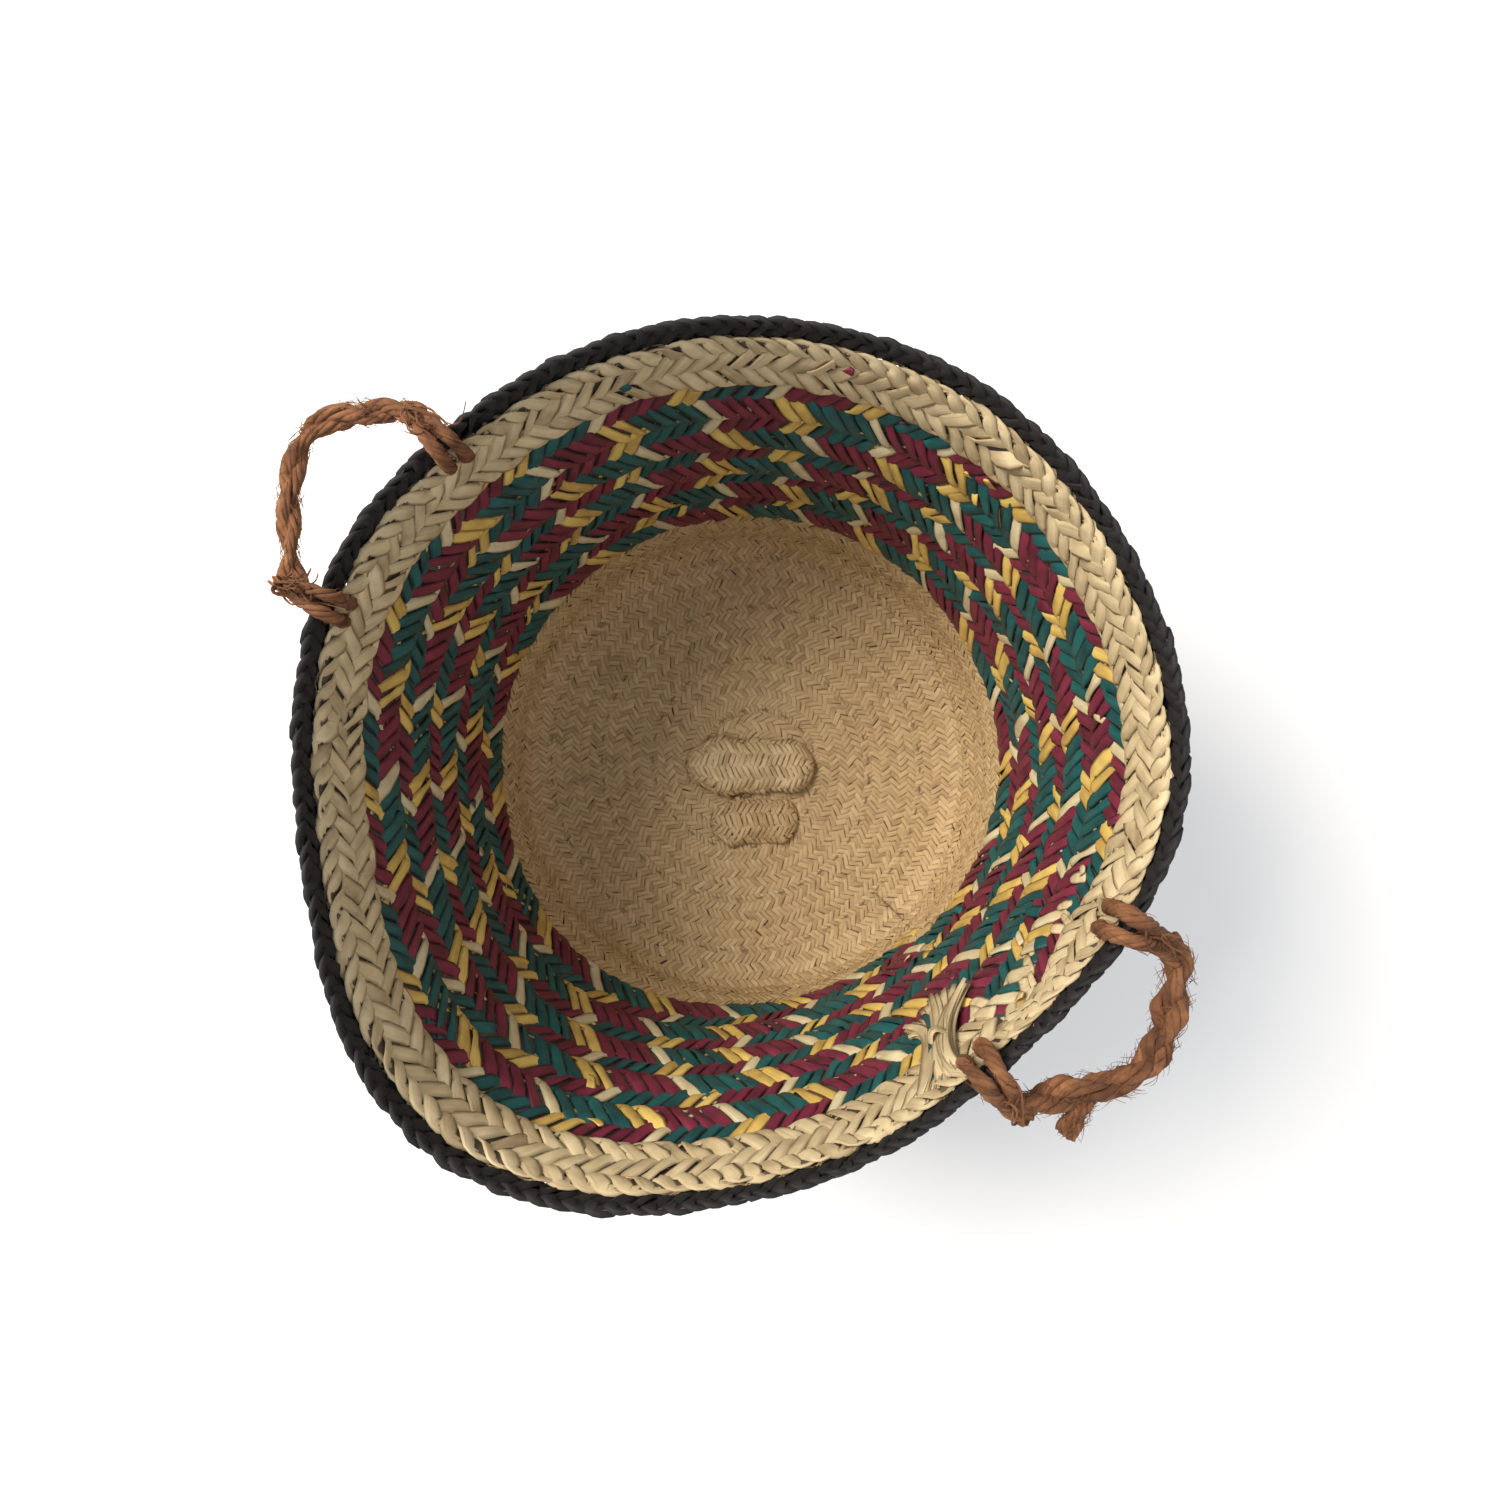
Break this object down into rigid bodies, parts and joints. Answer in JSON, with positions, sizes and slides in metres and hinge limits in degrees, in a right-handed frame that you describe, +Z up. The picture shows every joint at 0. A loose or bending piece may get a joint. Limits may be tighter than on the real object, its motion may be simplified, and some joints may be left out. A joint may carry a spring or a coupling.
{
  "type": "plaited basket",
  "caption": "Deep round basket of plaited palm leaf with dyed turns, a dark rim and two swinging rope handles.",
  "frame": {"origin": "middle of the flat underside of the floor", "axes": "+Z up out of the mouth, -X towards the left handle's side, +Y to the back"},
  "size_m": [0.4334, 0.4181, 0.3512],
  "materials": {
    "natural_plait": "dry palm leaf, fine plait",
    "pale_leaf": "pale palm leaf, coarse plait",
    "dyed_plait": "dyed palm leaf, maroon, green and yellow plait",
    "black_plait": "black dyed leaf plait",
    "leaf_cord": "twisted palm leaf cord",
    "coir_rope": "rough red-brown fibre rope"
  },
  "bodies": {
    "basket": {"floor_centre": "natural_plait", "floor_turn_1": "natural_plait", "seam_cord_01": "leaf_cord", "floor_turn_2": "natural_plait", "seam_cord_02": "leaf_cord", "floor_turn_3": "natural_plait", "seam_cord_03": "leaf_cord", "seam_cord_04": "leaf_cord", "corner_turn": "natural_plait", "seam_cord_05": "leaf_cord", "natural_wall_turn": "natural_plait", "seam_cord_06": "leaf_cord", "coloured_turn_1": "dyed_plait", "seam_cord_07": "leaf_cord", "coloured_turn_2": "dyed_plait", "seam_cord_08": "leaf_cord", "coloured_turn_3": "dyed_plait", "seam_cord_09": "leaf_cord", "coloured_turn_4": "dyed_plait", "seam_cord_10": "leaf_cord", "coloured_turn_5": "dyed_plait", "seam_cord_11": "leaf_cord", "top_band": "pale_leaf", "seam_cord_12": "leaf_cord", "rim_strip": "black_plait", "starting_fold": "natural_plait", "starting_tuck": "natural_plait", "leaf_tail": "pale_leaf", "left_eye_a": "coir_rope", "left_eye_b": "coir_rope", "right_eye_a": "coir_rope", "right_eye_b": "coir_rope"},
    "left_handle": {"left_handle_rope": "coir_rope"},
    "right_handle": {"right_handle_rope": "coir_rope", "right_rope_end": "coir_rope"}
  },
  "joints": [
    {"name": "left_handle_swing", "type": "hinge", "parent": "basket", "child": "left_handle", "pos_m": [-0.18463, 0.12281, 0.334], "axis": [0.5886, 0.8084, 0], "range_deg": [-72, 98]},
    {"name": "right_handle_swing", "type": "hinge", "parent": "basket", "child": "right_handle", "pos_m": [0.16092, -0.12191, 0.334], "axis": [-0.6788, -0.7343, 0], "range_deg": [-72, 98]}
  ]
}
